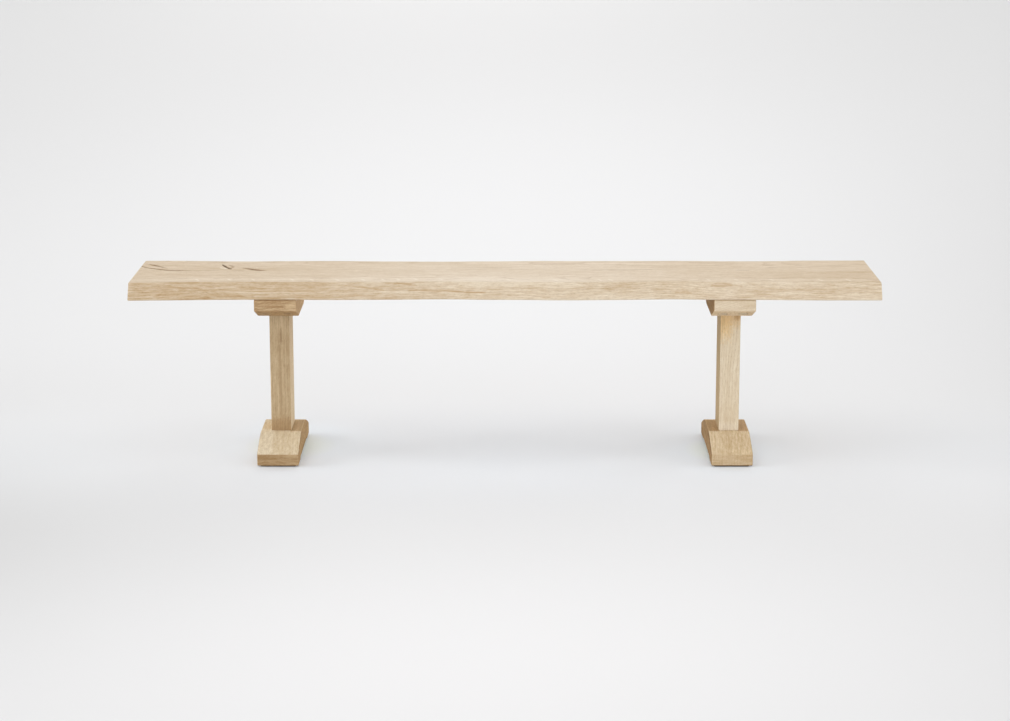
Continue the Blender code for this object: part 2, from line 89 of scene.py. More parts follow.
# The floor: the tone that its pools add to, the darkest that it gets, and the pools as colour added,
# middle, and reach along X and Y. The pools are painted light and painted shade: paler and darker patches
# that stand in for the uneven fall of the studio's light, and take some of the bench's shadow out. The last
# three keep it neutral where the oak throws warm light on it, and the two beside the feet are also painted
# light that lightens the feet's shadow
FLOOR_REACH = 30.0
FLOOR_TONE = 0.655
FLOOR_DARKEST = 0.68
FLOOR_LIGHT_AND_SHADE_POOLS = (
    ((0.150, 0.150, 0.155), (0.10, 1.80), (2.40, 6.30)),
    ((0.060, 0.055, 0.055), (-0.05, -1.60), (0.95, 0.70)),
    ((-0.170, -0.170, -0.175), (-1.70, -0.60), (0.85, 0.95)),
    ((0.095, 0.100, 0.105), (-1.00, -0.05), (4.00, 0.47)),
    ((-0.245, -0.250, -0.255), (2.90, -2.00), (1.50, 5.00)),
    ((0.150, 0.145, 0.145), (-0.45, 17.40), (3.50, 12.00)),
    ((-0.105, -0.075, -0.035), (0.00, -0.03), (0.93, 0.40)),
    ((0.110, 0.175, 0.235), (-0.54, 0.05), (0.16, 0.19)),
    ((0.120, 0.195, 0.265), (0.54, 0.00), (0.12, 0.17)),
)

# Seat planks, each on its side of the joint: rows of its top and how they crowd towards its edge, step
# between its columns, and length from the -X end that has fine columns, for the splits
PLANKS = {
    "seat_plank_front": {"side": -1, "top_rows": 80, "crowding": 1.4, "step": 0.0025, "fine_length": 0.0},
    "seat_plank_rear": {"side": 1, "top_rows": 150, "crowding": 1.0, "step": 0.006, "fine_length": 0.368},
}
FINE_STEP = 0.0016
FACE_ROWS = 16
BOTTOM_ROWS = 24
JOINT_ROWS = 3
END_EASE = 0.002
EASE_STEPS = 4
JOINT_EASE = 0.0003
JOINT_EASE_REACH = 0.001
SHARP_ANGLE = math.radians(40)

# The CAD's outer edge: how far out it starts, points in each of its two arcs, share of the end's ease that
# its stations keep clear of, and the digits that tell stations and points apart
EDGE_ZONE = 0.125
ARC_POINTS = 4
END_MARGIN = 0.9
STATION_DIGITS = 4
POINT_DIGITS = 5

# Lumps that the saw and the spokeshave left in the waney edges: length along X and Z, height and phase.
# They fade out over a strip of the top and of the underside
EDGE_LUMPS = (
    (0.171, 0.40, 0.0007, 0.4),
    (0.083, 0.13, 0.0005, 2.1),
    (0.047, 0.09, 0.0004, 4.4),
    (0.023, 0.05, 0.0002, 1.3),
)
TOP_FADE = 0.02
BOTTOM_FADE = 0.03

# Drying splits in the top of the rear plank. Each path has X, distance out from the joint, and share of
# the width. Stain is how far the brown beside the split reaches, and shade is how strong it is
SPLITS = (
    {
        "width": 0.0048, "depth": 0.0060, "stain": 0.0095, "shade": 0.75,
        "path": (
            (-0.902, 0.071, 0.4), (-0.885, 0.050, 0.5), (-0.868, 0.037, 0.6), (-0.846, 0.0228, 0.9),
            (-0.826, 0.0122, 0.9), (-0.812, 0.0100, 1.0), (-0.802, 0.0095, 1.0), (-0.788, 0.0085, 0.6),
            (-0.770, 0.0080, 0.2),
        ),
    },
    {
        "width": 0.0030, "depth": 0.0050, "stain": 0.0120, "shade": 0.70,
        "path": (
            (-0.894, 0.0990, 0.2), (-0.881, 0.0917, 0.4), (-0.867, 0.0779, 0.9), (-0.855, 0.0642, 0.7),
            (-0.842, 0.0505, 0.35), (-0.831, 0.0400, 0.1),
        ),
    },
    {
        "width": 0.0105, "depth": 0.0080, "stain": 0.0075, "shade": 0.70,
        "path": (
            (-0.7014, 0.0917, 0.25), (-0.6955, 0.0779, 0.75), (-0.6910, 0.0642, 0.65),
            (-0.6838, 0.0505, 0.7), (-0.6772, 0.0370, 1.0), (-0.6742, 0.0290, 0.35),
        ),
    },
    {
        "width": 0.0050, "depth": 0.0055, "stain": 0.0140, "shade": 0.85,
        "path": (
            (-0.6440, 0.0420, 0.3), (-0.6310, 0.0350, 0.6), (-0.6200, 0.0235, 1.0),
            (-0.6090, 0.0155, 1.0), (-0.6010, 0.0105, 0.8), (-0.5935, 0.0090, 0.5),
            (-0.5830, 0.0080, 0.1),
        ),
    },
)

# How ragged the splits' edges are, along X, and how soon from their rims they are deep and dark
RAGGED = 0.25
RAGGED_RATES = (900, 373)
SPLIT_STEEPNESS = 1.5
SPLIT_DARKNESS = 2.5

# Light chips beside the widest split, as paths like those of the splits
CHIPS = (
    ((-0.6935, 0.0430, 0.8), (-0.6860, 0.0335, 1.0)),
    ((-0.7010, 0.0500, 0.4), (-0.6965, 0.0400, 0.7)),
)
CHIP_REACH = 0.0058
CHIP_FULLNESS = 1.4
CHIP_MOST = 0.9

# Short light flecks across the grain near the front edge, and the streaky paler band that they lie in:
# places along X, and distances in from the edge
FLECK_PLACES = (
    -0.740, -0.663, -0.606, -0.512, -0.465, -0.404, -0.342, -0.294, -0.258, -0.215,
    -0.155, 0.008, 0.121, 0.227, 0.253, 0.488, 0.555, 0.640, 0.757, 0.824,
)
FLECK_REACH = 0.0042
FLECK_NEAR = 0.020
FLECK_FAR = 0.038
FLECK_SLANT = 0.004
FLECK_TAPER = 0.6
RIM_MIDDLE = 0.030
RIM_REACH = 0.018
RIM_FULLNESS = 1.5

# Brown streaks without a split: reach, shade and path. Those on the rear plank's top have paths like the
# splits, and those on the front face have X, distance down from the top, and share of the reach
TOP_STREAKS = (
    (0.0060, 0.30, ((-0.785, 0.008, 0.6), (-0.740, 0.009, 1.0), (-0.700, 0.010, 0.5))),
    (0.0040, 0.50, ((-0.668, 0.011, 0.8), (-0.640, 0.010, 0.8))),
    (0.0080, 0.55, ((-0.682, 0.082, 0.7), (-0.674, 0.068, 1.0), (-0.672, 0.050, 0.7))),
    (0.0050, 0.45, ((0.571, 0.013, 1.0), (0.600, 0.013, 0.8))),
    (0.0050, 0.45, ((0.652, 0.051, 1.0), (0.671, 0.051, 0.8))),
    (0.0060, 0.35, ((0.190, 0.018, 0.5), (0.270, 0.016, 1.0), (0.360, 0.022, 0.7))),
    (0.0060, 0.25, ((-0.130, 0.050, 0.6), (-0.040, 0.047, 1.0), (0.020, 0.052, 0.6))),
)
FACE_STREAKS = (
    (0.0030, 0.55, ((-0.390, 0.007, 0.5), (-0.340, 0.012, 1.0), (-0.290, 0.019, 0.8))),
    (0.0032, 0.60, ((-0.286, 0.003, 0.9), (-0.250, 0.004, 0.8), (-0.215, 0.007, 1.0))),
    (0.0026, 0.75, ((-0.230, 0.019, 0.5), (-0.150, 0.021, 1.0), (-0.048, 0.024, 0.8))),
    (0.0060, 0.40, ((0.495, 0.008, 0.8), (0.530, 0.007, 1.0), (0.565, 0.010, 0.6))),
    (0.0050, 0.45, ((0.408, 0.024, 0.7), (0.430, 0.023, 1.0), (0.446, 0.026, 0.5))),
    (0.0040, 0.35, ((-0.400, 0.028, 0.6), (-0.330, 0.032, 1.0), (-0.260, 0.037, 0.8))),
    (0.0035, 0.30, ((-0.880, 0.012, 0.6), (-0.800, 0.014, 1.0), (-0.700, 0.012, 0.6))),
)

# Noises: rates along three coordinates, amount of detail and how rough the detail is
NOISES = {
    "slow": ((1.9, 5.0, 5.0), 2.0, 0.5),
    "sway": ((1.5, 4.0, 4.0), 2.0, 0.5),
    "quick": ((8.0, 24.0, 24.0), 2.0, 0.5),
    "uneven": ((60.0, 0.5, 1.0), 1.0, 0.5),
    "band": ((90.0, 1.6, 5.0), 3.0, 0.6),
    "broad": ((3.0, 14.0, 14.0), 2.0, 0.5),
    "streak": ((10.0, 140.0, 110.0), 3.0, 0.6),
    "stroke": ((45.0, 180.0, 180.0), 3.0, 0.6),
    "fibre": ((24.0, 300.0, 300.0), 3.0, 0.6),
    "fine": ((90.0, 1700.0, 1700.0), 2.0, 0.5),
    "vessel": ((130.0, 2300.0, 2300.0), 1.0, 0.5),
    "sheet": ((60.0, 50.0, 800.0), 2.0, 0.5),
    "lines": ((9.0, 150.0, 150.0), 3.0, 0.6),
    "layers": ((1.0, 1.0, 3.0), 3.0, 0.6),
    "spots": ((260.0, 260.0, 150.0), 3.0, 0.5),
    "beech_grain": ((700.0, 30.0, 700.0), 3.0, 0.5),
    "turning": ((300.0, 300.0, 3000.0), 2.0, 0.5),
    "tarnish": ((120.0, 120.0, 120.0), 3.0, 0.5),
    "fuzz": ((900.0, 900.0, 900.0), 4.0, 0.5),
    "cloud": ((60.0, 60.0, 60.0), 2.0, 0.5),
}
SWING = 2.5
SWAY_SHIFT = 7.7
RIPPLE = 0.0022
RING_UNEVENNESS = 1.2
END_WAVE_DEPTH = 0.5
END_WAVE_HEIGHT = 1.6

# Smooth steps: between which values one counts, and what it turns into there where that isn't 0 and 1
SQUARE_ON = (0.72, 0.95)
UNDERSIDE = (-0.45, -0.20, 1.0, 0.0)
EARLY_WOOD = (0.0, 0.6, 1.0, 0.0)
PORES = (0.55, 0.66)
RAYS = (0.60, 0.72)
FINE_MARKS = (0.42, 0.70, 0.0, 0.25)
DEEP_TONES = (0.9, 1.6)
RIM_STREAKS = (0.40, 0.62, 0.06, 0.34)
STAIN_STROKES = (0.25, 0.60, 0.55, 1.0)
ARRIS_DEPTH = (0.004, 0.009)
ARRIS_FADE = (-0.070, -0.020, 1.0, 0.0)

# Oak in general: axes from along the grain outwards, share of its pores in late wood, strengths, and
# colours of its flaws
GRAIN_ORDER = {"X": (0, 1, 2), "Y": (1, 0, 2), "Z": (2, 0, 1)}
LATE_PORES = 0.25
PORE_STRENGTH = 0.5
FLECK_STRENGTH = 0.8
TONE_STRENGTH = 0.5
MIDDLE_TONE = 0.5
TOP_CONTRAST = 0.55
SPLIT_COLOUR = (70, 48, 30)
STAIN_COLOUR = (132, 94, 54)
STREAK_COLOUR = (182, 142, 92)
FLECK_COLOUR = (244, 234, 218)
WHITE = (1.0, 1.0, 1.0, 1.0)
DEEP_TINT = (0.80, 0.74, 0.66, 1.0)

# The oak's relief, from its noises, and its roughness and gloss
RELIEF = {"fine": 0.3, "fibre": 0.5, "pores": -0.8, "early": -0.3}
RELIEF_STRENGTH = 0.4
RELIEF_HEIGHT = 0.0005
OAK_ROUGHNESS = 0.56
FIBRE_ROUGHNESS = 0.14
PORE_ROUGHNESS = 0.12
OAK_GLOSS = 0.01

# How much of the face's colours the underside, the joint and the ends of a seat plank have
PLAIN_FACE = 0.6

# The share of the written oak colours that the wood itself has, because the light is a little over 1
SEAT_TINT = (0.92, 0.92, 0.92, 1.0)
LEG_TINT = (0.955, 0.955, 0.955, 1.0)

# What the boards of the seat share
SEAT_BOARD = {
    "grain": "X", "ring_width": 0.0034, "bend": 0.020, "spread": 0.15,
    "band": 0.50, "streak": 0.90, "stroke": 0.80, "broad": 0.45, "fibre": 0.80,
    "end_layers": 0.9, "end_wave": (20.0, 160.0), "ring": 0.16, "ray": 0.25,
    "dark": (176, 144, 104), "pore": (138, 104, 68),
    "long": ((242, 229, 211), (196, 170, 133)), "face": ((240, 226, 204), (197, 168, 130)),
    "end": ((210, 191, 164), (172, 142, 103)),
}

# Each board: axis and seed of its grain, its pith across the grain, the width of its rings, how far they
# bend, and how fast its figure changes round the pith. How much each noise shows in its tone, also on
# its ends and sides, and waves in a metre of its end grain. How strong rings and rays are. Last its
# colours: dark wood, pores, and pairs from pale to brown for each way that a surface looks. The side and
# under pairs are painted light and painted shade: faces that look along X, or down, are made lighter or
# darker for how the light falls on them. Drifts are tones along the seat, from -X to +X
BOARDS = {
    "seat_plank_front": {
        **SEAT_BOARD, "seed": 3.7, "pith": (-0.105, SEAT_BOTTOM - 0.095),
        "top_drift": (0.42, 0.43, 0.19, 0.08, 0.46, 0.60),
        "face_drift": (0.72, 0.68, 0.33, 0.20, 0.32, 0.19),
    },
    "seat_plank_rear": {
        **SEAT_BOARD, "seed": 9.2, "pith": (0.120, SEAT_BOTTOM - 0.110),
        "top_drift": (0.48, 0.46, 0.28, 0.19, 0.38, 0.46),
        "face_drift": (0.60, 0.60, 0.50, 0.42, 0.46, 0.50),
    },
    "left_bearer": {
        "grain": "Y", "seed": 1.3, "pith": (-0.52, 0.27), "ring_width": 0.0050, "bend": 0.014,
        "spread": 0.12, "band": 0.8, "streak": 1.0, "stroke": 0.4, "broad": 0.9, "fibre": 0.8,
        "side_lines": 0.8, "end_layers": 2.6, "end_wave": (18.0, 150.0), "ring": 0.22, "ray": 0.2,
        "dark": (146, 112, 75), "pore": (112, 82, 54),
        "long": ((220, 195, 158), (174, 142, 103)), "end": ((219, 192, 155), (173, 140, 101)),
        "side": ((231, 199, 158), (196, 166, 129)), "under": ((206, 169, 123), (166, 134, 95)),
    },
    "left_post": {
        "grain": "Z", "seed": 5.1, "pith": (-0.40, 0.10), "ring_width": 0.0040, "bend": 0.008,
        "spread": 0.16, "band": 0.35, "streak": 0.5, "stroke": 0.9, "broad": 0.2, "fibre": 0.5,
        "side_lines": 0.4, "end_layers": 0.8, "end_wave": (40.0, 160.0), "ring": 0.20, "ray": 0.12,
        "dark": (150, 120, 84), "pore": (116, 88, 60),
        "long": ((217, 196, 162), (178, 152, 117)), "end": ((190, 166, 130), (156, 128, 92)),
        "side": ((230, 210, 179), (211, 189, 156)), "under": ((190, 166, 130), (156, 128, 92)),
    },
    "left_foot": {
        "grain": "Y", "seed": 2.4, "pith": (-0.74, 0.02), "ring_width": 0.0060, "bend": 0.010,
        "spread": 0.20, "band": 0.5, "streak": 0.9, "stroke": 0.6, "broad": 0.3, "fibre": 1.0,
        "side_lines": 1.4, "end_layers": 2.8, "end_wave": (20.0, 180.0), "ring": 0.10, "ray": 0.2,
        "dark": (190, 158, 116), "pore": (140, 106, 70),
        "long": ((238, 225, 200), (204, 182, 145)), "end": ((188, 161, 125), (152, 120, 81)),
        "side": ((189, 156, 114), (149, 120, 84)), "under": ((194, 164, 125), (165, 137, 101)),
    },
    "right_bearer": {
        "grain": "Y", "seed": 6.6, "pith": (0.60, 0.22), "ring_width": 0.0050, "bend": 0.010,
        "spread": 0.20, "band": 0.5, "streak": 0.8, "stroke": 0.6, "broad": 0.4, "fibre": 0.6,
        "side_lines": 1.0, "end_layers": 1.2, "end_wave": (18.0, 140.0), "ring": 0.14, "ray": 0.2,
        "dark": (186, 158, 120), "pore": (140, 110, 76),
        "long": ((242, 228, 206), (214, 193, 162)), "end": ((242, 228, 206), (214, 193, 162)),
        "side": ((181, 146, 104), (137, 107, 71)), "under": ((252, 230, 197), (200, 169, 129)),
    },
    "right_post": {
        "grain": "Z", "seed": 8.3, "pith": (0.72, -0.30), "ring_width": 0.0040, "bend": 0.010,
        "spread": 0.33, "band": 0.4, "streak": 0.5, "stroke": 0.9, "broad": 0.4, "fibre": 0.6,
        "side_lines": 0.3, "end_layers": 0.8, "end_wave": (40.0, 160.0), "ring": 0.14, "ray": 0.15,
        "dark": (194, 165, 124), "pore": (146, 112, 76),
        "long": ((243, 232, 210), (216, 196, 166)), "end": ((216, 196, 166), (184, 158, 122)),
        "side": ((194, 173, 139), (174, 152, 118)), "under": ((216, 196, 166), (184, 158, 122)),
    },
    "right_foot": {
        "grain": "Y", "seed": 4.9, "pith": (0.64, 0.02), "ring_width": 0.0060, "bend": 0.020,
        "spread": 0.09, "band": 0.8, "streak": 0.9, "stroke": 0.8, "broad": 0.6, "fibre": 0.8,
        "side_lines": 1.6, "end_layers": 1.4, "end_wave": (16.0, 150.0), "ring": 0.18, "ray": 0.2,
        "dark": (184, 150, 108), "pore": (136, 102, 66),
        "long": ((236, 220, 191), (201, 176, 138)), "end": ((221, 200, 168), (189, 160, 120)),
        "side": ((165, 134, 97), (128, 101, 69)), "under": ((174, 145, 109), (148, 121, 88)),
    },
}

# Places where a board is browner or paler: middle and reach along X, Y and Z, softness of the rim,
# colour and strength. Most are the wood's own tone. Some are painted shade: the dark lines along the tops
# of the bearers below the seat, the level tops of the feet beside the posts, which are partly the wood's
# own darker tone too, and the top of the right post, where golden figure is darkened below its bearer
TONE_AND_SHADE_PATCHES = {
    "left_bearer": (
        ((-0.552, -0.15, 0.3745), (0.045, 0.04, 0.006), 0.8, (222, 194, 152), 0.55),
        ((-0.552, -0.15, 0.395), (0.024, 0.04, 0.0035), 0.9, (150, 115, 76), 0.6),
        ((-0.590, -0.15, 0.407), (0.050, 0.04, 0.006), 0.8, (166, 130, 90), 0.4),
        ((-0.512, -0.15, 0.398), (0.013, 0.04, 0.005), 0.7, (222, 196, 158), 0.4),
        # Painted shadow: a dark line along the top of the bearer, where the seat shades it
        ((-0.550, -0.15, 0.4115), (0.060, 0.04, 0.0024), 0.7, (140, 107, 72), 0.55),
    ),
    "right_bearer": (
        # Painted shadow: a dark line along the top of the bearer, where the seat shades it
        ((0.550, -0.15, 0.4115), (0.060, 0.04, 0.0020), 0.7, (176, 146, 106), 0.55),
    ),
    "left_post": (
        ((-0.5465, -0.05, 0.302), (0.0026, 0.04, 0.019), 0.6, (136, 104, 70), 0.55),
        ((-0.5500, -0.05, 0.190), (0.0030, 0.04, 0.090), 0.9, (158, 128, 92), 0.35),
        ((-0.550, -0.05, 0.335), (0.060, 0.04, 0.025), 0.8, (226, 204, 168), 0.25),
        ((-0.550, -0.05, 0.062), (0.040, 0.04, 0.034), 0.7, (172, 139, 100), 0.60),
    ),
    "left_foot": (
        # Painted shade of the post and the seat on the level top inside the post, partly the wood's own
        # darker tone
        ((-0.496, 0.0, FOOT_TOP), (0.034, FOOT_FLAT_HALF, 0.008), 0.12, (190, 164, 129), 0.95),
        ((-0.586, -0.10, 0.050), (0.019, 0.061, 0.050), 0.06, (242, 233, 212), 0.35),
    ),
    "right_post": (
        # The top of the post: golden figure, darkened also by painted shade below the bearer
        ((0.528, -0.05, 0.350), (0.024, 0.04, 0.054), 0.9, (232, 200, 148), 0.80),
        ((0.550, -0.05, 0.352), (0.030, 0.04, 0.028), 0.9, (228, 194, 144), 0.55),
        ((0.571, -0.05, 0.358), (0.012, 0.04, 0.018), 0.7, (190, 150, 100), 0.65),
        ((0.550, -0.05, 0.060), (0.040, 0.04, 0.022), 0.6, (250, 240, 222), 0.5),
    ),
    "right_foot": (
        # Painted shade of the seat and the post on the level top either side of the post, partly the wood's
        # own darker tone
        ((0.496, 0.0, FOOT_TOP), (0.034, FOOT_FLAT_HALF, 0.008), 0.12, (182, 152, 114), 0.95),
        ((0.604, 0.0, FOOT_TOP), (0.034, FOOT_FLAT_HALF, 0.008), 0.12, (192, 162, 126), 0.95),
        ((0.580, -0.15, 0.035), (0.030, 0.05, 0.004), 0.8, (236, 216, 180), 0.4),
    ),
}
PATCH_SQUARENESS = 8.0
PATCH_SPOTS = 0.6
PATCH_PALE = 1.20
PATCH_RANGE = 0.40

# Dark line along the upper edge of each foot's sides: colour and strength
ARRIS_LINES = {
    "left_foot": ((138, 108, 74), 0.65),
    "right_foot": ((108, 84, 57), 0.70),
}

# Other materials: colours from light to dark, and finishes that follow one noise. A finish holds how much
# that noise adds to the roughness and to what, the specular level, and the relief's strength and height
BEECH_COLOURS = ((224, 194, 156), (200, 162, 120))
ZINC_COLOURS = ((196, 198, 200), (158, 160, 162))
BRASS_COLOURS = ((206, 174, 106), (176, 144, 82))
FELT_COLOURS = ((104, 94, 84), (62, 54, 47))
FELT_CLOUD = (82, 70, 58)
FELT_CLOUDINESS = 0.4
FELT_SHEEN = 0.3
BEECH_FINISH = ((0.1, 0.6), 0.3, (0.3, 0.0002))
METAL_FINISH = ((0.25, 0.25), 0.5, (0.25, 0.0001))
FELT_FINISH = ((0.1, 0.88), 0.3, (0.6, 0.0006))

# Places of sockets on a Mix node, where several have the same name
MIX_FACTOR = 0
MIX_NUMBERS = (2, 3)
MIX_COLOURS = (6, 7)
MIXED_COLOUR = 2


# Node materials

def linear(colour):
    """A colour of display levels as linear light, with alpha."""
    return (*(((level / 255 + 0.055) / 1.055) ** 2.4 for level in colour), 1.0)


class Shader:
    """A node material, written as short calls that return sockets."""

    def __init__(self, name):
        self.material = bpy.data.materials.new(name)
        self.material.use_nodes = True
        self.tree = self.material.node_tree
        self.surface = self.tree.nodes["Principled BSDF"]

    def feed(self, socket, value):
        """Links a socket into another one, or sets its value."""
        if isinstance(value, bpy.types.NodeSocket):
            self.tree.links.new(value, socket)
        else:
            socket.default_value = value

    def add(self, kind, inputs, **settings):
        node = self.tree.nodes.new("ShaderNode" + kind)
        for key, value in settings.items():
            setattr(node, key, value)
        for key, value in inputs.items():
            self.feed(node.inputs[key], value)
        return node

    def math(self, operation, first, second=0.0, third=0.0, clamp=False):
        inputs = {0: first, 1: second, 2: third}
        return self.add("Math", inputs, operation=operation, use_clamp=clamp).outputs[0]

    def scaled(self, value, factor, offset=0.0):
        return self.math("MULTIPLY_ADD", value, factor, offset)

    def total(self, *values):
        result = values[0]
        for value in values[1:]:
            result = self.math("ADD", result, value)
        return result

    def product(self, first, second):
        return self.math("MULTIPLY", first, second)

    def noise(self, x, y, z, detail=2.0, roughness=0.5):
        """Noise of unit scale, at coordinates that already hold its rates."""
        place = self.add("CombineXYZ", {"X": x, "Y": y, "Z": z}).outputs[0]
        inputs = {"Vector": place, "Scale": 1.0, "Detail": detail, "Roughness": roughness}
        return self.add("TexNoise", inputs).outputs["Fac"]

    def field(self, kind, x, y, z, shift=0.0):
        """One of the noises at a place, shifted along its first coordinate."""
        rates, detail, roughness = NOISES[kind]
        x = self.scaled(x, rates[0], shift)
        return self.noise(x, self.scaled(y, rates[1]), self.scaled(z, rates[2]), detail, roughness)

    def swing(self, value, amount):
        """Noise turned into a swing of about amount to both sides of zero."""
        return self.scaled(value, SWING * amount, -SWING / 2 * amount)

    def smooth(self, value, low, high, to_low=0.0, to_high=1.0):
        """Smooth step from to_low at low to to_high at high."""
        inputs = {"Value": value, "From Min": low, "From Max": high, "To Min": to_low, "To Max": to_high}
        return self.add("MapRange", inputs, interpolation_type="SMOOTHSTEP").outputs["Result"]

    def mix(self, factor, first, second, blend="MIX"):
        inputs = {MIX_FACTOR: factor, MIX_COLOURS[0]: first, MIX_COLOURS[1]: second}
        return self.add("Mix", inputs, data_type="RGBA", blend_type=blend).outputs[MIXED_COLOUR]

    def level(self, factor, first, second):
        """Number between two others."""
        inputs = {MIX_FACTOR: factor, MIX_NUMBERS[0]: first, MIX_NUMBERS[1]: second}
        return self.add("Mix", inputs, data_type="FLOAT").outputs[0]

    def between(self, tone, pair):
        """Colour between a pale and a brown one."""
        return self.mix(tone, linear(pair[0]), linear(pair[1]))

    def tinted(self, colour, tint):
        return self.mix(1.0, colour, tint, blend="MULTIPLY")

    def ramp(self, value, levels):
        """Level at a value, through levels spread evenly from 0 to 1."""
        node = self.add("ValToRGB", {"Fac": value})
        node.color_ramp.interpolation = "B_SPLINE"
        elements = node.color_ramp.elements
        for order in range(1, len(levels) - 1):
            elements.new(order / (len(levels) - 1))
        for element, level in zip(elements, levels):
            element.color = (level, level, level, 1.0)
        return node.outputs["Color"]

    def attribute(self, name):
        return self.add("Attribute", {}, attribute_name=name).outputs["Fac"]

    def place(self):
        """X, Y and Z of the point, in the frame."""
        return self.add("SeparateXYZ", {0: self.add("TexCoord", {}).outputs["Object"]}).outputs

    def direction(self, axis):
        """How far the surface looks along an axis, from -1 to 1."""
        return self.add("SeparateXYZ", {0: self.add("TexCoord", {}).outputs["Normal"]}).outputs[axis]

    def square_on(self, axis):
        """1 where the surface looks along an axis, either way, and 0 where it doesn't."""
        return self.smooth(self.math("ABSOLUTE", self.direction(axis)), *SQUARE_ON)

    def bump(self, height, strength, distance):
        node = self.add("Bump", {"Height": height, "Strength": strength, "Distance": distance})
        self.feed(self.surface.inputs["Normal"], node.outputs[0])

    def paint(self, colour, roughness, specular):
        self.feed(self.surface.inputs["Base Color"], colour)
        self.feed(self.surface.inputs["Roughness"], roughness)
        self.surface.inputs["Specular IOR Level"].default_value = specular

    def finish(self, colour, noise, finish):
        roughness, specular, relief = finish
        self.paint(colour, self.scaled(noise, *roughness), specular)
        self.bump(noise, *relief)


# Oak

class Grain:
    """A board's grain at a point: places about its pith, and its kinds of mark there."""

    def __init__(self, s, board):
        self.axes = s.place()
        self.along, self.across, self.deep = (self.axes[i] for i in GRAIN_ORDER[board["grain"]])
        self.run = s.scaled(self.along, 1.0, board["seed"])
        self.find_pith(s, board)
        run, across, deep, radius, turn = self.run, self.across, self.deep, self.radius, self.turn

        # Rings: porous dark wood where each one starts. Groups of rings differ in tone
        uneven = s.field("uneven", radius, run, board["seed"])
        count = s.math("ADD", s.scaled(radius, 1 / board["ring_width"]), s.swing(uneven, RING_UNEVENNESS))
        self.early = s.smooth(s.math("FRACT", count), *EARLY_WOOD)
        self.band = s.field("band", radius, run, turn)

        # Figure along the grain, from broad patches to fibres
        self.broad = s.field("broad", run, radius, turn)
        self.streak = s.field("streak", run, radius, turn)
        self.stroke = s.field("stroke", run, radius, turn)
        self.fibre = s.field("fibre", run, radius, turn)

        # Fine marks and pores are long along the grain. Rays are thin sheets that face the pith
        self.fine = s.field("fine", run, across, deep)
        vessels = s.smooth(s.field("vessel", run, across, deep), *PORES)
        self.pores = s.product(vessels, s.scaled(self.early, 1 - LATE_PORES, LATE_PORES))
        self.rays = s.smooth(s.field("sheet", run, radius, turn), *RAYS)

    def find_pith(self, s, board):
        """Distance from the pith and turn about it, bent by slow waves and rippled by quick ones."""
        slow = s.field("slow", self.run, self.across, self.deep)
        sway = s.field("sway", self.run, self.across, self.deep, shift=SWAY_SHIFT)
        quick = s.field("quick", self.run, self.across, self.deep)
        pith_across, pith_deep = board["pith"]
        out_across = s.math("ADD", s.scaled(self.across, 1.0, -pith_across), s.swing(slow, board["bend"]))
        out_deep = s.math("ADD", s.scaled(self.deep, 1.0, -pith_deep), s.swing(sway, board["bend"]))
        square = s.math("ADD", s.product(out_across, out_across), s.product(out_deep, out_deep))
        self.radius = s.math("ADD", s.math("SQRT", square), s.swing(quick, RIPPLE))
        self.turn = s.scaled(s.math("ARCTAN2", out_across, out_deep), board["spread"])

    def end_layers(self, s, board):
        """Wavy layers that show on the board's ends, where the rings are cut across."""
        flat, steep = board["end_wave"]
        aside = s.scaled(self.across, flat)
        wave = s.noise(aside, self.run, END_WAVE_DEPTH)
        layer = s.math("ADD", s.scaled(self.deep, steep), s.swing(wave, END_WAVE_HEIGHT))
        return s.field("layers", aside, layer, self.run)


def board_tone(s, grain, board, end_grain, beside, face):
    """Tone from 0, pale, to 1, brown, and past both where the grain is strong."""
    tone = s.total(s.swing(grain.band, board["band"]), s.swing(grain.streak, board["streak"]),
                   s.swing(grain.stroke, board["stroke"]), s.swing(grain.broad, board["broad"]),
                   s.swing(grain.fibre, board["fibre"]))
    if face is None:
        lines = s.field("lines", grain.run, grain.across, grain.deep)
        tone = s.math("ADD", tone, s.product(beside, s.swing(lines, board["side_lines"])))
        middle = MIDDLE_TONE
    else:
        share = s.scaled(grain.along, 0.5 / SEAT_HALF, 0.5)
        middle = s.level(face, s.ramp(share, board["top_drift"]), s.ramp(share, board["face_drift"]))
        tone = s.product(tone, s.scaled(face, 1 - TOP_CONTRAST, TOP_CONTRAST))
    ends = s.math("ADD", s.swing(grain.end_layers(s, board), board["end_layers"]),
                  s.swing(grain.stroke, board["stroke"]))
    return s.math("ADD", s.scaled(s.level(end_grain, tone, ends), TONE_STRENGTH), middle)


def patched(s, axes, colour, tone, patch):
    """A patch of another colour, wood tone or painted shade, its rim broken up by small spots."""
    middle, reach, soft, patch_colour, strength = patch
    powers = []
    for axis, centre, half in zip(axes, middle, reach):
        away = s.math("ABSOLUTE", s.scaled(axis, 1 / half, -centre / half))
        powers.append(s.math("POWER", away, PATCH_SQUARENESS))
    distance = s.math("POWER", s.total(*powers), 1 / PATCH_SQUARENESS)
    distance = s.math("ADD", distance, s.swing(s.field("spots", *axes), PATCH_SPOTS * soft))
    shaded = s.tinted(linear(patch_colour), s.scaled(tone, -PATCH_RANGE, PATCH_PALE))
    return s.mix(s.smooth(distance, 1 - soft / 2, 1 + soft / 2, strength, 0.0), colour, shaded)


def lined_arris(s, axes, colour, beside, line_colour, strength):
    """A dark line along the upper edge of a foot's sides, towards the front."""
    slope = s.scaled(s.math("ABSOLUTE", axes[1]), -FOOT_FALL, FOOT_TOP + FOOT_FALL * FOOT_FLAT_HALF)
    below = s.math("SUBTRACT", s.math("MINIMUM", slope, FOOT_TOP), axes[2])
    near = s.product(beside, s.smooth(below, *ARRIS_DEPTH, strength, 0.0))
    near = s.product(near, s.smooth(axes[1], *ARRIS_FADE))
    return s.mix(near, colour, linear(line_colour))


